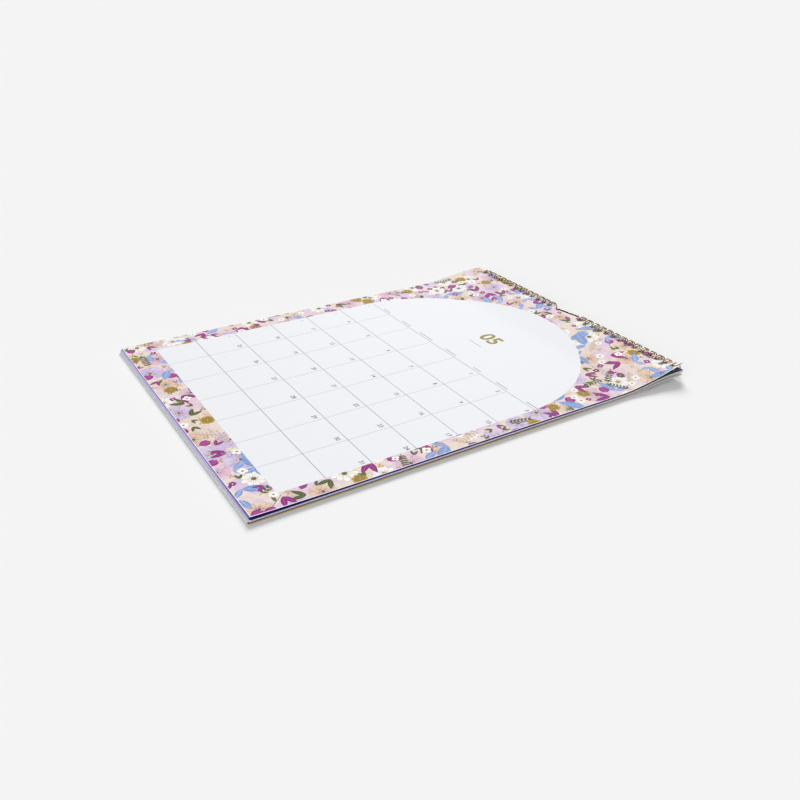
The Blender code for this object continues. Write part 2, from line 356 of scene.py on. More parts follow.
# A closed cup of three petals on a bent stem with one leaf.
def tulip(page, cx, cy, size, turn, rng, petals, edge, stamen):
    stem = bow(cx, cy, turn + math.pi, size * 0.85, size * 0.14 * rng.choice((-1, 1)))
    page.add(stroke(stem, 0.55, 0.4), stamen)
    page.add(blade(*stem[2], turn + math.pi + 0.55, size * 0.5, size * 0.16), stamen)
    for spread, share in ((-0.36, 0.9), (0.36, 0.9), (0.0, 1.0)):
        page.add(petal(cx, cy, turn + spread, -size * 0.06, size * 0.62 * share, size * 0.3, 1.0, 6),
                 petals if spread else edge)


# A thin stem with short stalks that end in berries.
def berrySprig(page, cx, cy, size, turn, rng, petals, stalk, stamen):
    stem = bow(cx, cy, turn, size, size * rng.uniform(-0.25, 0.25))
    page.add(stroke(stem, 0.5, 0.2), stalk)
    for k, joint in enumerate(stem[1:], 1):
        for hand in (-1, 1):
            angle = turn + hand * 0.75
            end = around(*joint, size * (0.3 - 0.035 * k), angle)
            page.add(stroke([joint, end], 0.28, 0.18), stalk)
            page.add(disc(*end, rng.uniform(0.75, 1.1), 7, 0.85, angle),
                     petals if (k + hand) % 3 else stamen)


# A stem with small leaves side by side.
def leafSprig(page, cx, cy, size, turn, rng, petals, stalk):
    stem = bow(cx, cy, turn, size, size * rng.uniform(-0.22, 0.22), 6)
    page.add(stroke(stem, 0.5, 0.25), stalk)
    for joint in stem[1:]:
        for hand in (-1, 1):
            page.add(blade(*joint, turn + hand * 0.85, size * 0.25, size * 0.11, 5), petals)
    page.add(blade(*stem[-1], turn, size * 0.27, size * 0.12, 5), petals)


# Two small leaves that share a point.
def seedling(page, cx, cy, size, turn, rng, petals, edge):
    for side in (0.0, rng.choice((-1, 1)) * rng.uniform(0.7, 1.0)):
        page.add(blade(cx, cy, turn + side, size, size * 0.34, 7, 0.9), petals)
        page.add(vein(cx, cy, turn + side, (size * 0.15, 0.0), (size * 0.8, 0.0), 0.38, 0.15), edge)


# A little four- or five-petalled flower.
def florets(page, cx, cy, size, turn, rng, petals, stamen):
    for angle in anglesOf(rng.choice((4, 5)), turn):
        page.add(disc(*around(cx, cy, size * 0.27, angle), size * 0.23, 7), petals)
    page.add(disc(cx, cy, size * 0.12, 6), stamen)


def berries(page, cx, cy, size, turn, rng, petals):
    for angle in anglesOf(3, turn):
        page.add(disc(*around(cx, cy, size * 0.3, angle), size * 0.2, 7), petals)


# One month's page: the arched panel, its grid and what stands in it, in millimetres.
pageShape = {
    "cell": 35.47, "columns": 7, "weeks": 6, "gridLeft": -123.9, "headLine": -143.4,
    "panelLeft": -121.3, "panelRight": 122.9, "panelFoot": -355.3, "archMiddle": -150.4, "archSteps": 56,
    "rowLine": 0.50, "columnLine": 0.42,
    "dateInset": 2.7, "dateDrop": 6.0, "dateSize": 5.0, "dateBold": 0.06,
    "weekInset": 6.0, "weekDrop": 6.4, "weekSize": 3.0,
    "monthX": 4.2, "monthUp": 49.0, "monthSize": 21.0, "monthBold": 0.55,
    "ruleUp": 32.0, "ruleWidth": 17.7, "ruleTall": 0.8,
    "dayBars": (12.0, 14.5, 20.0, 15.5, 10.0, 15.0, 12.5),   # bare bars where days are named
    "dayBarInset": 2.2, "dayBarTall": 1.2,
}

# The border's layers: spacing, tries and the share of a motif's size that later ones keep clear of.
borderShape = {
    "washSpacing": 17.0,
    "washTries": 900,
    "washRadius": (10.0, 14.0),
    "blossoms": (21.0, 3600, 0.44),
    "accents": (12.0, 6200, 0.44),
    "fillers": (6.5, 9000, 0.36),
    "underPanel": 0.55,     # how far under the panel a motif may stand, in spacings
}

mayPage = {
    # trim: width of a paper-white strip on the face, a painted highlight of the lit cut edge.
    "seed": 11, "month": "05", "firstColumn": 4, "days": 31, "firstWeek": 18, "margin": 0.0, "trim": 0.45,
    "edgeLeaves": (),
    "ground": "#ecdad4",
    "washes": ("#e7ccda", "#ecddcb", "#dbcae4", "#e9d5c8", "#e3cfe1"),
    "panel": "#eef0f4", "title": "#9a8a3a", "date": "#3f4248", "week": "#a9acb2", "bar": "#b4b7bd",
    "rowLine": "#8c8f95", "columnLine": "#b3b6bc",
    "blossoms": (           # what is drawn, its size and its inks
        (mallow, (19, 24), "#dccbe6", "#d3c0e0", "#a98fbb", "#6d6a35", "#8c3f86"),
        (daisy, (17, 21), "#fbf9f4", "#c4b39f", "#55602f", "#c39a35"),
        (mallow, (18, 23), "#e9cbdb", "#e2bfd2", "#b585a4", "#55602f", "#7c6a34"),
        (mallow, (16, 20), "#ecd3c2", "#e6c8b4", "#b98d70", "#55602f", "#8a6a32"),
        (daisy, (16, 20), "#fbf9f8", "#b9b0c6", "#c39a35", "#55602f"),
    ),
    "accents": (
        (broadLeaves, (17, 22), "#7f9bd4", "#b9c8ea"),
        (seedling, (11, 14), "#8f1f79", "#c06aad"),
        (tulip, (14, 18), "#8f1f79", "#ab4596", "#6a7038"),
        (leafSprig, (14, 19), "#4f592c", "#6e6e40"),
        (marigold, (11, 13), "#b8962f", "#9a7a22", "#5b6630", "#f3e6d8"),
        (berrySprig, (15, 20), "#7f9bd4", "#7c8cb8", "#b8962f"),
        (leafSprig, (15, 20), "#d9bfa6", "#b09478"),
        (seedling, (11, 15), "#8f1f79", "#c06aad"),
        (broadLeaves, (13, 18), "#86a0da", "#c2d0ef"),
        (seedling, (9, 12), "#4c5629", "#87915b"),
    ),
    "fillers": (
        (seedling, (6, 9), "#8f1f79", "#c06aad"),
        (seedling, (5, 8), "#4c5629", "#7c8748"),
        (florets, (6, 8), "#fcfaf6", "#55602f"),
        (florets, (5, 7), "#8f1f79", "#f3e6d8"),
        (berries, (4, 5), "#55602f"),
        (berries, (4, 5), "#b8962f"),
    ),
}

junePage = {
    **mayPage,
    "seed": 23, "month": "06", "firstColumn": 0, "days": 30, "firstWeek": 23, "margin": 3.0, "trim": 0.0,
    "footMargin": "#a99ee6",
    "edgeLeaves": (         # place, turn, length and width of the dark leaves along the near side
        (137.5, -84.0, 1.66, 48.0, 15.0),
        (135.5, -46.0, 1.52, 46.0, 18.0),
        (104.0, -14.0, 0.16, 38.0, 12.0),
    ),
    "edgeLeafInks": ("#3b4226", "#7d8a55", "#66724a"),
    "ground": "#35267c",
    "washes": ("#3f2d86", "#2f2368", "#442b7e", "#2f3678"),
    "panel": "#f0f1f5", "title": "#5a4a94",
    "blossoms": (
        (mallow, (25, 31), "#6d57a8", "#6450a0", "#8f7cc6", "#c39a35", "#e9d9ef"),
        (mallow, (23, 29), "#b08ccb", "#a581c4", "#7f5fa6", "#4c5a30", "#f3e6d8"),
        (daisy, (19, 24), "#cbb8e6", "#8d78b8", "#c39a35", "#4c5a30"),
    ),
    "accents": (
        (broadLeaves, (19, 25), "#4c5a30", "#7d8a55"),
        (broadLeaves, (17, 22), "#5a7a5c", "#8aa584"),
        (marigold, (14, 17), "#c39a35", "#9a7a22", "#f0d9cf", "#9c2a86"),
        (tulip, (14, 17), "#b0479b", "#c666b2", "#7d8a55"),
        (leafSprig, (16, 20), "#64703c", "#8a8f60"),
    ),
    "fillers": (
        (seedling, (7, 10), "#b0479b", "#d98bca"),
        (seedling, (6, 9), "#64703c", "#98a266"),
        (florets, (5, 7), "#ece4f4", "#c39a35"),
        (berries, (5, 7), "#c39a35"),
    ),
}

# trim: the white of the painted highlight strip that stands in for the lit cut edge.
paperInks = {"cut": "#f2f0f4", "back": "#f4f3f4", "trim": "#fbfafc"}


def panelArch():
    left, right = pageShape["panelLeft"], pageShape["panelRight"]
    return left, right, (left + right) / 2, (right - left) / 2


# How far a point lies inside the panel; below zero outside it.
def depthUnderPanel(x, y):
    left, right, middle, radius = panelArch()
    if y > pageShape["archMiddle"]:
        return radius - math.hypot(x - middle, y - pageShape["archMiddle"])
    return min(x - left, right - x, y - pageShape["panelFoot"])


# Points over the page that keep their distance from each other and from the places to avoid.
def spreadPoints(rng, spacing, tries, avoid=()):
    half = leafShape["width"] / 2
    kept = []
    for _ in range(tries):
        x, y = rng.uniform(-half, half), rng.uniform(-leafShape["height"], 0)
        if depthUnderPanel(x, y) > spacing * borderShape["underPanel"]:
            continue
        if any(math.hypot(x - a, y - b) < spacing for a, b in kept):
            continue
        if any(math.hypot(x - a, y - b) < gap for a, b, gap in avoid):
            continue
        kept.append((x, y))
    return kept


def drawBorder(page, month):
    rng = random.Random(month["seed"])
    half, foot = leafShape["width"] / 2, -leafShape["height"]
    page.addBox(-half, foot, half, 0.0, month["ground"], 1.0)
    for x, y in spreadPoints(rng, borderShape["washSpacing"], borderShape["washTries"]):
        radius = rng.uniform(*borderShape["washRadius"])
        flower = ghostFlower(x, y, radius, rng.uniform(0, 3), rng.choice((5, 6)))
        page.add(flower, rng.choice(month["washes"]))
    avoid = []
    for group in ("blossoms", "accents", "fillers"):
        spacing, tries, clear = borderShape[group]
        placed = []
        for number, (x, y) in enumerate(spreadPoints(rng, spacing, tries, avoid)):
            motif, sizes, *inks = month[group][(number * 2 + rng.choice((0, 1))) % len(month[group])]
            size = rng.uniform(*sizes)
            motif(page, x, y, size, rng.uniform(0, math.tau), rng, *inks)
            placed.append((x, y, size * clear))
        avoid += placed
        print("  ", group, len(placed))


# What a page has along its edges: a plain margin, large leaves, or a paper-white strip on the face along the
# near side and foot, a painted highlight that stands in for the lit cut edge of the card.
def drawEdges(page, month):
    half, foot, margin = leafShape["width"] / 2, -leafShape["height"], month["margin"]
    if margin:
        page.addBox(-half, foot, half - margin, foot + margin, month["footMargin"], 1.0)
        page.addBox(-half, -margin, half, 0.0, month["ground"], 1.0)
        page.addBox(-half, foot, margin - half, 0.0, month["ground"], 1.0)
        page.addBox(half - margin, foot, half, 0.0, month["ground"], 1.0)
    for x, y, turn, length, width in month["edgeLeaves"]:
        veinedLeaf(page, x, y, turn, length, width, edgeLeaf, *month["edgeLeafInks"])
    # Painted highlight: a paper-white strip on the printed face where the lit cut edge shows.
    trim = month["trim"]
    if trim:
        near, end = topLeaf["right"], topLeaf["foot"]
        page.addBox(near - trim, end, near, 0.0, paperInks["trim"])
        page.addBox(-half, end, near, end + trim, paperInks["trim"])


# Plain numerals set at a point.
def addNumerals(page, text, size, x, y, align, colour, bold=0.0):
    curve = bpy.data.curves.new("numeral", "FONT")
    curve.body, curve.size, curve.offset = text, size, bold
    curve.align_x, curve.align_y = align, "CENTER"
    curve.resolution_u = 3
    mesh = evaluatedMesh(linkPiece("numeral", curve))
    for face in mesh.polygons:
        corners = [mesh.vertices[number].co for number in face.vertices]
        page.add([(x + corner.x, y + corner.y) for corner in corners], colour, 0.0)
    bpy.data.curves.remove(curve)
    bpy.data.meshes.remove(mesh)


def drawPanel(page, month):
    shape = pageShape
    left, right, middle, radius = panelArch()
    foot, cell, head, gridLeft = shape["panelFoot"], shape["cell"], shape["headLine"], shape["gridLeft"]
    arch = arcPoints(middle, shape["archMiddle"], radius, 0, 180, shape["archSteps"])
    page.add([(left, foot), (right, foot)] + arch, month["panel"], 0.0)

    for column in range(1, shape["columns"]):
        x, half = gridLeft + cell * column, shape["columnLine"] / 2
        page.addBox(x - half, foot, x + half, head, month["columnLine"])
    for week in range(shape["weeks"]):
        y, half = head - cell * week, shape["rowLine"] / 2
        page.addBox(left, y - half, right, y + half, month["rowLine"])
    for column, wide in enumerate(shape["dayBars"]):
        x, y = gridLeft + cell * (column + 1) - shape["dayBarInset"], head + shape["dayBarInset"]
        page.addBox(x - wide, y, x, y + shape["dayBarTall"], month["bar"])

    for day in range(1, month["days"] + 1):
        week, column = divmod(day - 1 + month["firstColumn"], shape["columns"])
        x, y = gridLeft + cell * (column + 1) - shape["dateInset"], head - cell * week - shape["dateDrop"]
        addNumerals(page, str(day), shape["dateSize"], x, y, "RIGHT", month["date"], shape["dateBold"])
    for week in range((month["days"] - 1 + month["firstColumn"]) // shape["columns"] + 1):
        x, y = gridLeft + shape["weekInset"], head - cell * week - shape["weekDrop"]
        addNumerals(page, str(month["firstWeek"] + week), shape["weekSize"], x, y, "LEFT", month["week"])
    x, y = shape["monthX"], head + shape["monthUp"]
    addNumerals(page, month["month"], shape["monthSize"], x, y, "CENTER", month["title"], shape["monthBold"])
    half, tall, y = shape["ruleWidth"] / 2, shape["ruleTall"] / 2, head + shape["ruleUp"]
    page.addBox(x - half, y - tall, x + half, y + tall, month["bar"])


def printPage(month):
    page = Print()
    drawBorder(page, month)
    drawEdges(page, month)
    drawPanel(page, month)
    return page


# A test that lists the triangles of a map whose centres lie inside an outline.
def coverFinder(spots, tris):
    corners = np.array([(spot.x, spot.y) for spot in spots])
    centres = corners[np.array(tris)].mean(axis=1)
    order = np.argsort(centres[:, 0])
    sortedX = centres[order, 0]

    def covered(outline):
        xs, ys = zip(*outline)
        near = order[np.searchsorted(sortedX, min(xs)):np.searchsorted(sortedX, max(xs))]
        near = near[(centres[near, 1] > min(ys)) & (centres[near, 1] < max(ys))]
        x, y = centres[near].T
        odd = np.zeros(len(near), bool)
        for (ax, ay), (bx, by) in zip(outline, outline[1:] + outline[:1]):
            if ay != by:
                odd ^= ((ay > y) != (by > y)) & (x < ax + (bx - ax) * (y - ay) / (by - ay))
        return near[odd]

    return covered


# One flat map of triangles that has every outline and every extra point in it, so no printed
# shape floats on the card. The last result tells which input points each map point came from.
def flatMap(outlines, extra):
    coords, faces = [], []
    for outline in outlines:
        faces.append(list(range(len(coords), len(coords) + len(outline))))
        coords += [Vector(point) for point in outline]
    coords += [Vector(point) for point in extra]
    spots, _, tris, origins, _, _ = delaunay_2d_cdt(coords, [], faces, 0, 1e-4)
    return spots, tris, origins


# The triangles of a map that are card: inside the leaf and outside its holes.
def cardTriangles(covered, count, outline, holes):
    inside = np.zeros(count, bool)
    inside[covered(outline)] = True
    for hole in holes:
        inside[covered(hole)] = False
    return np.flatnonzero(inside)


# The closed loops of a map's open edges, each edge from its first point to the next.
def borderLoops(border):
    loops, todo = [], dict(border)
    while todo:
        start, after = next(iter(todo.items()))
        loop = [start]
        del todo[start]
        while after != start:
            loop.append(after)
            after = todo.pop(after)
        loops.append(loop)
    return loops


# Rows of points that let a leaf bend, closer where it climbs to the rings and at its curl.
def bendPoints(shape):
    left, right, step = shape["left"], shape["right"], shape["gridStep"]
    bend = leafShape["bendReach"]
    patches = [(left, shape["foot"], right, -bend, step, step),
               (left, -bend, right, 0, step, leafShape["bendStep"])]
    fine = shape.get("fineStep")
    if fine:
        patches.append((right - shape["fineAcross"], -shape["fineDown"], right, 0, fine, fine))
    return [(x, y) for x0, y0, x1, y1, stepX, stepY in patches
            for x in np.arange(x0 + stepX / 2, x1, stepX) for y in np.arange(y0 + stepY / 2, y1, stepY)]


# A closed sheet with holes and notch: printed face, bare back and cut edges.
def flatLeafMesh(name, shape, page=None, lift=None):
    outline, holes = leafOutline(shape["left"], shape["right"], shape["foot"]), holeOutlines()
    inner = bendPoints(shape)
    prints = page.shapes if page else []
    spots, tris, _ = flatMap([outline] + holes + [points for points, _ in prints], inner)
    plain, cut = (*ink(paperInks["back"]), 0.0), (*ink(paperInks["cut"]), 0.0)
    covered = coverFinder(spots, tris)
    triInks = [plain] * len(tris)
    for points, shapeInk in prints:
        for number in covered(points):
            triInks[number] = shapeInk
    card = cardTriangles(covered, len(tris), outline, holes)
    polygons, colours = [list(tris[number]) for number in card], [triInks[number] for number in card]

    # The back is a coarse map on the same border points, and the cut edges join the two.
    sides = {(a, b) for tri in polygons for a, b in zip(tri, tri[1:] + tri[:1])}
    border = {a: b for a, b in sides if (b, a) not in sides}
    loops = sorted(borderLoops(border), key=lambda loop: min(spots[i].x for i in loop))
    ringIds = [i for loop in loops for i in loop]
    backSpots, backTris, origins = flatMap([[spots[i] for i in loop] for loop in loops], inner)
    backStart = len(spots)
    toBack = {ringIds[origin]: backStart + index for index, near in enumerate(origins)
              for origin in near if origin < len(ringIds)}
    for number in cardTriangles(coverFinder(backSpots, backTris), len(backTris), outline, holes):
        polygons.append([backStart + i for i in reversed(backTris[number])])
        colours.append(plain)
    for a, b in border.items():
        polygons.append([b, a, toBack[a], toBack[b]])
        colours.append(cut)

    def height(spot):
        return lift(spot.x, spot.y) if lift else 0.0

    verts = [(s.x, s.y, leafShape["sheet"] + height(s)) for s in spots]
    verts += [(s.x, s.y, height(s)) for s in backSpots]
    used = sorted({i for polygon in polygons for i in polygon})
    renumbered = {old: new for new, old in enumerate(used)}
    mesh = bpy.data.meshes.new(name)
    mesh.from_pydata([tuple(c * mm for c in verts[i]) for i in used], [],
                     [[renumbered[i] for i in polygon] for polygon in polygons])
    layer = mesh.color_attributes.new("inkColour", "FLOAT_COLOR", "CORNER")
    flat = np.repeat(np.array(colours, np.float32), [len(p) for p in polygons], axis=0)
    layer.data.foreach_set("color", flat.ravel())
    mesh.validate()
    return mesh


# Both geometry trees begin with named inputs and end in Set Material.
def startTree(name, **inputs):
    tree = bpy.data.node_groups.new(name, "GeometryNodeTree")
    for kind, names in inputs.items():
        for label in names:
            tree.interface.new_socket(label, in_out="INPUT", socket_type="NodeSocket" + kind)
    tree.interface.new_socket("Geometry", in_out="OUTPUT", socket_type="NodeSocketGeometry")
    return tree, tree.nodes.new("NodeGroupInput").outputs


def moved(tree, geometry, x, y, z):
    spot = addNode(tree, "ShaderNodeCombineXYZ", {0: x, 1: y, 2: z}).outputs[0]
    return addNode(tree, "GeometryNodeSetPosition", {"Geometry": geometry, "Position": spot}).outputs[0]


def endTree(tree, geometry, material):
    dressed = addNode(tree, "GeometryNodeSetMaterial", {"Geometry": geometry, "Material": material})
    addNode(tree, "NodeGroupOutput", {0: dressed.outputs[0]})
    return tree


def arithmetic(tree):
    def maker(operation):
        return lambda *values: calc(tree, operation, *values)

    return [maker(operation) for operation in ("ADD", "SUBTRACT", "MULTIPLY", "DIVIDE")]


# A stack of leaves that hang on the rings and lie down on the table.
def buildLeafTree():
    tree, given = startTree(
        "hangLeaves", Geometry=["leaf"], Int=["leaves", "seed"], Material=["material"],
        Float=["pitch", "tableZ", "ringZ", "axisY", "axisZ", "ringRadius", "holeToEdge", "flatByRings",
               "climb", "sidePlay", "footPlay"])
    add, minus, times, _ = arithmetic(tree)

    line = addNode(tree, "GeometryNodeMeshLine", {"Count": given["leaves"], "Offset": (0, 0, 0)})
    copies = addNode(tree, "GeometryNodeInstanceOnPoints",
                     {"Points": line.outputs[0], "Instance": given["leaf"]})
    number = tree.nodes.new("GeometryNodeInputIndex").outputs[0]
    marked = addNode(tree, "GeometryNodeStoreNamedAttribute",
                     {"Geometry": copies.outputs[0], "Name": "leafNumber", "Value": number},
                     domain="INSTANCE", data_type="FLOAT")
    real = addNode(tree, "GeometryNodeRealizeInstances", {"Geometry": marked.outputs[0]})

    attribute = addNode(tree, "GeometryNodeInputNamedAttribute", {"Name": "leafNumber"}, data_type="FLOAT")
    leaf = attribute.outputs[0]
    up = times(leaf, given["pitch"])
    tableZ = add(given["tableZ"], up)
    ringZ = add(given["ringZ"], up)
    middle = minus(add(ringZ, times(given["pitch"], 0.5)), given["axisZ"])
    squares = minus(times(given["ringRadius"], given["ringRadius"]), times(middle, middle))
    edgeY = add(minus(given["axisY"], calc(tree, "SQRT", squares)), given["holeToEdge"])

    def play(limit, extra):
        node = addNode(tree, "FunctionNodeRandomValue",
                       {2: times(limit, -1.0), 3: limit, "ID": leaf, "Seed": add(given["seed"], extra)},
                       data_type="FLOAT")
        return node.outputs[1]

    place = splitVector(tree, tree.nodes.new("GeometryNodeInputPosition").outputs[0])
    x = add(place[0], play(given["sidePlay"], 0.0))
    y = add(add(place[1], edgeY), play(given["footPlay"], 7.0))
    flatEnd = minus(given["axisY"], given["flatByRings"])
    rise = ranged(tree, y, minus(flatEnd, given["climb"]), flatEnd, interpolation_type="SMOOTHSTEP")
    z = add(add(place[2], tableZ), times(rise, minus(ringZ, tableZ)))
    return endTree(tree, moved(tree, real.outputs[0], x, y, z), given["material"])


def smoothed(mesh, kind):
    mesh.shade_smooth()
    mesh.set_sharp_from_angle(angle=math.radians(sharpAngles[kind]))
    return mesh


# A tree's inputs by name: whole numbers as they are, lengths in metres.
def treeValues(*shapes, **others):
    numbers = {key: value if isinstance(value, int) else value * mm for shape in shapes
               for key, value in shape.items() if isinstance(value, (int, float))}
    return {**numbers, "axisY": axisY, "axisZ": axisZ, **others}


# The plain mesh that a geometry tree makes, as a piece at the origin.
def grown(name, mesh, tree, values, kind):
    source = linkPiece(name + "_source", mesh)
    modifier = source.modifiers.new("nodes", "NODES")
    modifier.node_group = tree
    for item in tree.interface.items_tree:
        if item.in_out == "INPUT" and item.name in values:
            modifier[item.identifier] = values[item.name]
    made = evaluatedMesh(source)
    made.name = name
    return linkPiece(name, smoothed(made, kind))


leafTree = buildLeafTree()


def hangLeaves(name, shape, level, material, page=None, lift=None):
    values = treeValues(leafShape, binding, shape, level, material=material)
    piece = grown(name, flatLeafMesh(name, shape, page, lift), leafTree, values, "card")
    print("  ", name, "faces", len(piece.data.polygons))
    return piece


# Materials
def newMaterial(name):
    material = bpy.data.materials.new(name)
    material.use_nodes = True
    tree = material.node_tree
    return material, tree, tree.nodes["Principled BSDF"]


def noise(tree, scale, detail):
    place = tree.nodes.new("ShaderNodeTexCoord").outputs["Object"]
    feeds = {"Vector": place, "Scale": scale, "Detail": detail}
    return addNode(tree, "ShaderNodeTexNoise", feeds).outputs[0]


def mixInks(tree, share, low, high):
    feeds = {"Factor": share}
    for slot, colour in ((6, low), (7, high)):
        feeds[slot] = (*ink(colour), 1.0) if isinstance(colour, str) else colour
    return addNode(tree, "ShaderNodeMix", feeds, data_type="RGBA").outputs[2]


def scaledColour(tree, colour, tone):
    return addNode(tree, "ShaderNodeVectorMath", {0: colour, "Scale": tone}, operation="SCALE").outputs[0]


# Joins a finish to the shader: colour, gloss and fine relief.
def dress(tree, shader, finish, colour, roughness, relief):
    rough = ranged(tree, roughness, 0.0, 1.0, *finish["roughness"])
    bump = addNode(tree, "ShaderNodeBump", {"Height": relief, "Strength": finish["relief"],
                                            "Distance": finish["reliefDepth"] * mm})
    for slot, feed in (("Base Color", colour), ("Roughness", rough), ("Normal", bump.outputs[0])):
        tree.links.new(feed, shader.inputs[slot])
    shader.inputs["Specular IOR Level"].default_value = finish["specular"]


cardFinish = {
    "washScale": 260.0,
    "washTone": (0.90, 1.07),
    "dryScale": 1900.0,
    "dryTone": (0.97, 1.03),
    "fibreScale": 3200.0,
    "roughness": (0.60, 0.74),
    "relief": 0.12,
    "reliefDepth": 0.03,
    "specular": 0.12,
}


# Printed card: the ink of each shape, varied as by brushwork as much as its own alpha says.
def printedCard(name):
    finish = cardFinish
    material, tree, shader = newMaterial(name)
    inkNode = addNode(tree, "ShaderNodeAttribute", attribute_name="inkColour")
    wash = noise(tree, finish["washScale"], 5.0)
    dry = noise(tree, finish["dryScale"], 3.0)
    tone = calc(tree, "MULTIPLY", ranged(tree, wash, 0.3, 0.7, *finish["washTone"]),
                ranged(tree, dry, 0.35, 0.7, *finish["dryTone"]))
    away = calc(tree, "MULTIPLY", calc(tree, "SUBTRACT", tone, 1.0), inkNode.outputs["Alpha"])
    varied = scaledColour(tree, inkNode.outputs["Color"], calc(tree, "ADD", away, 1.0))
    dress(tree, shader, finish, varied, wash, noise(tree, finish["fibreScale"], 4.0))
    return material


stackFinish = {
    "side": (137.8, 138.4),         # x where the inks of the near side take over, in mm
    "farSide": (-138.9, -138.5),
    "fade": (40.0, 150.0),          # y over which the near side's inks fade towards the rings
    "faded": "#dedce0",
    "fadeShare": 0.8,
    "core": "#f4f2f6",              # the cut edges and undersides show a paler core
    "grainScale": 900.0,
    "grainTone": (0.92, 1.06),
    "roughness": (0.55, 0.75),
    "relief": 0.15,
    "reliefDepth": 0.03,
    "specular": 0.15,
}


# One constant colour for each leaf of a stack.
def leafRamp(tree, share, inks):
    ramp = addNode(tree, "ShaderNodeValToRGB", {"Fac": share})
    ramp.color_ramp.interpolation = "CONSTANT"
    stops = ramp.color_ramp.elements
    while len(stops) > 1:
        stops.remove(stops[-1])
    for number, code in enumerate(inks):
        stop = stops[0] if number == 0 else stops.new(number / len(inks))
        stop.position = number / len(inks)
        stop.color = (*ink(code), 1.0)
    return ramp.outputs[0]


# Card whose ink changes from leaf to leaf, with other inks along its near side; the dark ones among these
# are painted shade of the gap between the stacks.
def stackCard(name, shape):
    finish = stackFinish
    material, tree, shader = newMaterial(name)
    leaf = addNode(tree, "ShaderNodeAttribute", attribute_name="leafNumber")
    share = ranged(tree, leaf.outputs["Fac"], -0.5, len(shape["inks"]) - 0.5)
    place = splitVector(tree, tree.nodes.new("ShaderNodeTexCoord").outputs["Object"])
    upward = splitVector(tree, tree.nodes.new("ShaderNodeNewGeometry").outputs["True Normal"])[2]
    nearSide, farSide, nearRings = [
        ranged(tree, place[axis], low * mm, high * mm, *ends)
        for axis, (low, high), ends in ((0, finish["side"], (0.0, 1.0)), (0, finish["farSide"], (1.0, 0.0)),
                                        (1, finish["fade"], (0.0, finish["fadeShare"])))]
    # The near side's inks, painted gap shade among them, fading towards the rings.
    sideColour = mixInks(tree, nearRings, leafRamp(tree, share, shape["sideInks"]), finish["faded"])
    printed = mixInks(tree, nearSide, leafRamp(tree, share, shape["inks"]), sideColour)
    edge = ranged(tree, upward, 0.3, 0.7, shape["cutShade"], 0.0)
    under = ranged(tree, upward, -0.7, -0.3, 1.0 - shape["cutShade"], 0.0)
    whole = mixInks(tree, farSide, printed, shape["inks"][0])
    mixed = mixInks(tree, calc(tree, "ADD", edge, under), whole, finish["core"])
    grain = noise(tree, finish["grainScale"], 4.0)
    varied = scaledColour(tree, mixed, ranged(tree, grain, 0.0, 1.0, *finish["grainTone"]))
    dress(tree, shader, finish, varied, grain, grain)
    return material


wireFinish = {
    "patinaScale": 420.0,
    "patina": (0.40, 0.62),
    "scuffScale": 2600.0,
    "roughness": (0.2, 0.42),
    "relief": 0.12,
    "reliefDepth": 0.04,
    "specular": 0.5,
}


# Antique plated wire: bright and dark stretches of patina with fine scuffs.
def bronzeWire(name, light, dark):
    finish = wireFinish
    material, tree, shader = newMaterial(name)
    patina = ranged(tree, noise(tree, finish["patinaScale"], 5.0), *finish["patina"])
    scuff = noise(tree, finish["scuffScale"], 3.0)
    dress(tree, shader, finish, mixInks(tree, patina, dark, light), scuff, scuff)
    shader.inputs["Metallic"].default_value = 1.0
    return material


# The uppermost leaf. Each leaf has its own edges, x from the middle and y from the bound edge: the
# photo shows lower leaves at the sides and the foot of the upper ones.
topLeaf = {
    "left": -138.8, "right": 138.3, "foot": -379.8,
    "gridStep": 7.0, "fineAcross": 16.0, "fineDown": 40.0, "fineStep": 2.0,
    "leaves": 1, "sidePlay": 0.0, "footPlay": 0.0, "seed": 1,
    "curl": 5.8, "curlAcross": 14.0, "curlDown": 36.0,      # the turned-up corner by the rings
    "footLift": 1.1, "footReach": 90.0,     # the foot corner that stands off the stack
}


def topLeafLift(x, y):
    across = max(1 - (topLeaf["right"] - x) / topLeaf["curlAcross"], 0.0)
    down = max(1 + y / topLeaf["curlDown"], 0.0)
    fromFoot = (topLeaf["right"] - x) + (y - topLeaf["foot"])
    foot = topLeaf["footLift"] * max(1 - fromFoot / topLeaf["footReach"], 0.0) ** 2
    return topLeaf["curl"] * across ** 1.6 * down ** 2 + foot


cardMaterial = printedCard("satin_printed_card")
print("printing the uppermost leaf")
mayLeaf = hangLeaves("may_leaf", topLeaf, topLevel, cardMaterial, printPage(mayPage), topLeafLift)
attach(mayLeaf, "top_leaf")
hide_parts("current_leaf")

nextLeaf = {**topLeaf, "right": 139.6, "foot": -380.2, "gridStep": 9.0, "fineStep": 0.0, "seed": 2}
print("printing the next leaf")
juneLevel = levelAbove(aheadLevel, leafShape["ahead"] - 1)
juneLeaf = hangLeaves("june_leaf", nextLeaf, juneLevel, cardMaterial, printPage(junePage))
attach(juneLeaf, "bound_block")
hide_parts("leaves_ahead")

laterLeaves = {
    "left": -138.8, "right": 139.4, "foot": -380.5, "gridStep": 12.0,
    "leaves": leafShape["ahead"] - 1, "sidePlay": 0.2, "footPlay": 0.1, "seed": 4,
    "inks": ("#f6f1fd", "#eee4fc", "#e8dcfb", "#e3d5fa", "#decef9", "#d9c8f8"),
    # Near side: the two lowest leaves are nearly black, painted shade of the gap between this stack and the
    # turned one, not the card's colour.
    "sideInks": ("#1d1822", "#2a2230", "#ece2fb", "#ece2fb", "#e9defa", "#e6daf9"),
    "cutShade": 0.2,
}
print("stacking the other leaves")
laterCard = stackCard("later_leaf_card", laterLeaves)
laterStack = hangLeaves("later_leaves", laterLeaves, aheadLevel, laterCard)
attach(laterStack, "bound_block")
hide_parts("leaves_ahead")

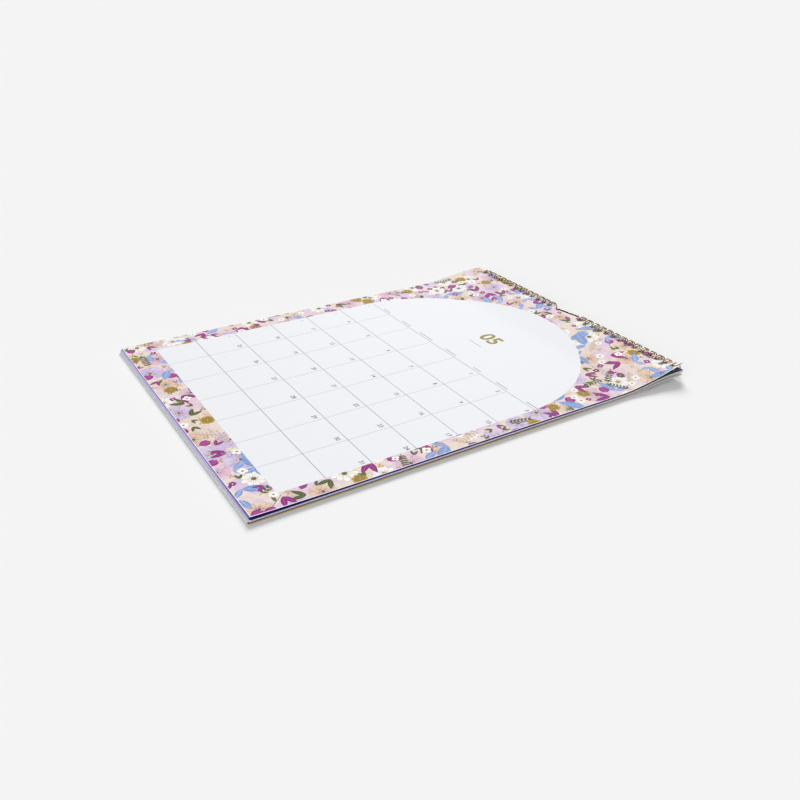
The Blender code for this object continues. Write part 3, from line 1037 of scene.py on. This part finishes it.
turnedLeaves = {
    **laterLeaves, "left": -139.5, "foot": -381.0, "leaves": leafShape["turned"], "seed": 9,
    "inks": ("#93ead0", "#93ead0", "#fdfdfd", "#fdfdfd", "#fdfdfd"),
    # Near side: the uppermost turned leaf is dark brown, painted shade of the same gap between the stacks.
    "sideInks": ("#f2e6bd", "#f0dfa8", "#e9d28a", "#dfc475", "#54461f"),
    "cutShade": 0.15,
}
turnedCard = stackCard("turned_leaf_card", turnedLeaves)
turnedStack = hangLeaves("turned_leaves_card", turnedLeaves, turnedLevel, turnedCard)
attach(turnedStack, "bound_block")
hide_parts("turned_leaves")


# The twin-loop wire: one bent wire that runs along the spine and goes round each ring and back.
wireShape = {
    "prongs": 2.6,          # between the two wires of one loop
    "corner": 0.6,
    "tipGap": 1.3,          # between the closed tips and the spine
    "samples": 110,         # points along one loop
    "sides": 12,
    "light": "#b89f6c",
    "dark": "#382c1d",
}


def buildWireTree():
    tree, given = startTree(
        "twinLoopWire", Geometry=["Geometry"], Int=["loops", "samples", "sides"], Material=["material"],
        Float=["firstLoop", "loopPitch", "prongs", "corner", "ringRadius", "wire", "rootAngle",
               "tipAngle", "axisY", "axisZ"])
    add, minus, times, over = arithmetic(tree)

    count = add(times(given["loops"], given["samples"]), 1.0)
    line = addNode(tree, "GeometryNodeMeshLine", {"Count": count, "Offset": (0.001, 0, 0)})
    path = addNode(tree, "GeometryNodeMeshToCurve", {0: line.outputs[0]})
    index = tree.nodes.new("GeometryNodeInputIndex").outputs[0]
    loop = calc(tree, "FLOOR", over(add(index, 0.01), given["samples"]))
    along = over(minus(index, times(loop, given["samples"])), given["samples"])

    # x runs along the spine, across at the ring's tip and on along the spine.
    prong = times(given["prongs"], 0.5)
    spine = minus(times(given["loopPitch"], 0.5), prong)
    offset = add(ranged(tree, along, 0.0, 0.05, times(spine, -1.0), 0.0),
                 ranged(tree, along, 0.95, 1.0, 0.0, spine))
    swing = times(prong, ranged(tree, along, 0.485, 0.515, -1.0, 1.0))
    x = add(add(offset, swing), add(given["firstLoop"], times(loop, given["loopPitch"])))

    # y and z go round the ring to its tip and back.
    wound = minus(ranged(tree, along, 0.04, 0.49), ranged(tree, along, 0.51, 0.96))
    angle = add(given["rootAngle"], times(wound, minus(given["tipAngle"], given["rootAngle"])))
    y = add(given["axisY"], times(given["ringRadius"], calc(tree, "COSINE", angle)))
    z = add(given["axisZ"], times(given["ringRadius"], calc(tree, "SINE", angle)))
    placed = moved(tree, path.outputs[0], x, y, z)

    total = addNode(tree, "GeometryNodeCurveLength", {"Curve": placed}).outputs[0]
    stub = minus(spine, given["corner"])
    ends = {"Curve": placed, 4: stub, 5: minus(total, stub)}
    trim = addNode(tree, "GeometryNodeTrimCurve", ends, mode="LENGTH")
    profile = addNode(tree, "GeometryNodeCurvePrimitiveCircle",
                      {"Resolution": given["sides"], "Radius": times(given["wire"], 0.5)})
    tube = addNode(tree, "GeometryNodeCurveToMesh",
                   {"Curve": trim.outputs[0], "Profile Curve": profile.outputs[0], "Fill Caps": True})
    return endTree(tree, tube.outputs[0], given["material"])


wireTree = buildWireTree()


def bendWire(name, loops, firstLoop, material):
    rootAngle = math.radians(binding["rootAngle"])
    tipTurn = 2 * math.asin(wireShape["tipGap"] / 2 / binding["ringRadius"])
    start = {"firstLoop": firstLoop * binding["loopPitch"]}
    values = treeValues(binding, wireShape, start, loops=loops, rootAngle=rootAngle,
                        tipAngle=rootAngle - math.tau + tipTurn, material=material)
    return grown(name, bpy.data.meshes.new(name), wireTree, values, "wire")


wireMaterial = bronzeWire("antique_bronze_wire", wireShape["light"], wireShape["dark"])
halfGap = binding["gapPitches"] / 2
leftLoops, rightLoops = binding["loopsLeft"], binding["loopsRight"]
for name, node, loops, firstLoop in (
        ("left_twin_loop", "left_binding_wire", leftLoops, 1 - leftLoops - halfGap),
        ("right_twin_loop", "right_binding_wire", rightLoops, halfGap)):
    wire = bendWire(name, loops, firstLoop, wireMaterial)
    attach(wire, "bound_block")
    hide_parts(node)
print("binding wire bent")


# The hanger: straight arms in the rings and a low arch in the thumb notch.
hangerShape = {
    "wire": 1.6, "length": 150.0, "endCap": 0.3, "armStops": (40.0, 20.0), "tilt": 52.0,
    # The arch is bent by hand, so its left end is low and its right end high.
    "leftFoot": -18.0, "leftTop": -12.6, "leftRise": 1.9,
    "rightTop": 11.0, "rightRise": 3.8, "rightFoot": 15.4, "legSteps": 12,
    "light": "#6f5a30", "dark": "#2b2212",
}


def hangerPath():
    shape = hangerShape
    end = shape["length"] / 2 - shape["endCap"]
    halves = []
    for side in ("left", "right"):
        foot, top, rise = shape[side + "Foot"], shape[side + "Top"], shape[side + "Rise"]
        half = [(math.copysign(x, foot), 0.0) for x in (end, *shape["armStops"])]
        for step in range(shape["legSteps"] + 1):
            t = step / shape["legSteps"]
            half.append((foot + (top - foot) * t, rise * t * t * (3 - 2 * t)))
        halves.append(half)
    tilt = math.radians(shape["tilt"])
    return [(x * mm, armY + rise * mm * math.cos(tilt), armZ + rise * mm * math.sin(tilt))
            for x, rise in halves[0] + halves[1][::-1]]


hangerCurve = bpy.data.curves.new("hanger_bend", "CURVE")
hangerCurve.dimensions = "3D"
hangerCurve.bevel_depth = hangerShape["wire"] / 2 * mm
hangerCurve.bevel_resolution = 6
hangerCurve.use_fill_caps = True
spline = hangerCurve.splines.new("POLY")
hangerPoints = hangerPath()
spline.points.add(len(hangerPoints) - 1)
for slot, point in zip(spline.points, hangerPoints):
    slot.co = (*point, 1.0)
hangerMesh = evaluatedMesh(linkPiece("hanger_bend", hangerCurve))
hangerMesh.materials.clear()
hangerMaterial = bronzeWire("dark_bronze_wire", hangerShape["light"], hangerShape["dark"])
hanger = linkPiece("hanger_wire", smoothed(hangerMesh, "wire"), hangerMaterial)
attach(hanger, "hanger")
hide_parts("hanger")
print("hanger bent")


# Floor, light and camera
studio = {
    "floor": "#f8f8f8",
    "floorReach": 30.0,
    "floorZ": -0.00005,
    "world": 0.345,
    "seenWorld": 0.91,      # what the camera and the metal see behind the object
    "key": {"strength": 2.78, "angle": 24.0, "comesFrom": (-1.0, 0.75, 0.82)},
    "fill": {"strength": 0.9, "angle": 50.0, "comesFrom": (0.5, -1.0, 0.6)},
}

reach, floorZ = studio["floorReach"], studio["floorZ"]
floorMesh = bpy.data.meshes.new("floor")
floorMesh.from_pydata([(x * reach, y * reach, floorZ) for x, y in ((-1, -1), (1, -1), (1, 1), (-1, 1))],
                      [], [(0, 1, 2, 3)])
floorMaterial, _, floorShader = newMaterial("studio_floor")
floorShader.inputs["Base Color"].default_value = (*ink(studio["floor"]), 1.0)
floorShader.inputs["Roughness"].default_value = 1.0
floorShader.inputs["Specular IOR Level"].default_value = 0.0
floor = linkPiece("floor", floorMesh, floorMaterial)

scene.world = bpy.data.worlds.new("studio_air")
scene.world.use_nodes = True
air = scene.world.node_tree
sky = air.nodes["Background"]
sky.inputs["Color"].default_value = (1.0, 1.0, 1.0, 1.0)
rays = air.nodes.new("ShaderNodeLightPath").outputs
seen = calc(air, "MAXIMUM", calc(air, "MAXIMUM", rays["Is Camera Ray"], rays["Is Glossy Ray"]),
            rays["Is Transmission Ray"])
air.links.new(ranged(air, seen, 0.0, 1.0, studio["world"], studio["seenWorld"]), sky.inputs["Strength"])

for name in ("key", "fill"):
    settings = studio[name]
    lamp = bpy.data.lights.new("soft_" + name, "SUN")
    lamp.energy = settings["strength"]
    lamp.angle = math.radians(settings["angle"])
    holder = bpy.data.objects.new("soft_" + name, lamp)
    scene.collection.objects.link(holder)
    holder.rotation_mode = "QUATERNION"
    holder.rotation_quaternion = Vector(settings["comesFrom"]).to_track_quat("Z", "Y")

camera = {
    "place": (0.524434, -0.330824, 0.309031),
    "forward": (-0.738436, 0.470136, -0.48341),
    "up": (-0.417518, 0.244171, 0.875248),
    "focalPixels": 823.58,
    "framePixels": 800,
    "sensor": 36.0,
}
cameraData = bpy.data.cameras.new("photo_camera")
cameraData.sensor_width = camera["sensor"]
cameraData.lens = camera["focalPixels"] / camera["framePixels"] * camera["sensor"]
cameraData.clip_start = 0.01
cameraData.clip_end = 100.0
photoCamera = bpy.data.objects.new("photo_camera", cameraData)
scene.collection.objects.link(photoCamera)
forward = Vector(camera["forward"]).normalized()
across = forward.cross(Vector(camera["up"]).normalized()).normalized()
facing = Matrix((across, across.cross(forward), -forward)).transposed().to_4x4()
photoCamera.matrix_world = Matrix.Translation(camera["place"]) @ facing
scene.camera = photoCamera
scene.view_settings.view_transform = "Standard"
print("studio lit")
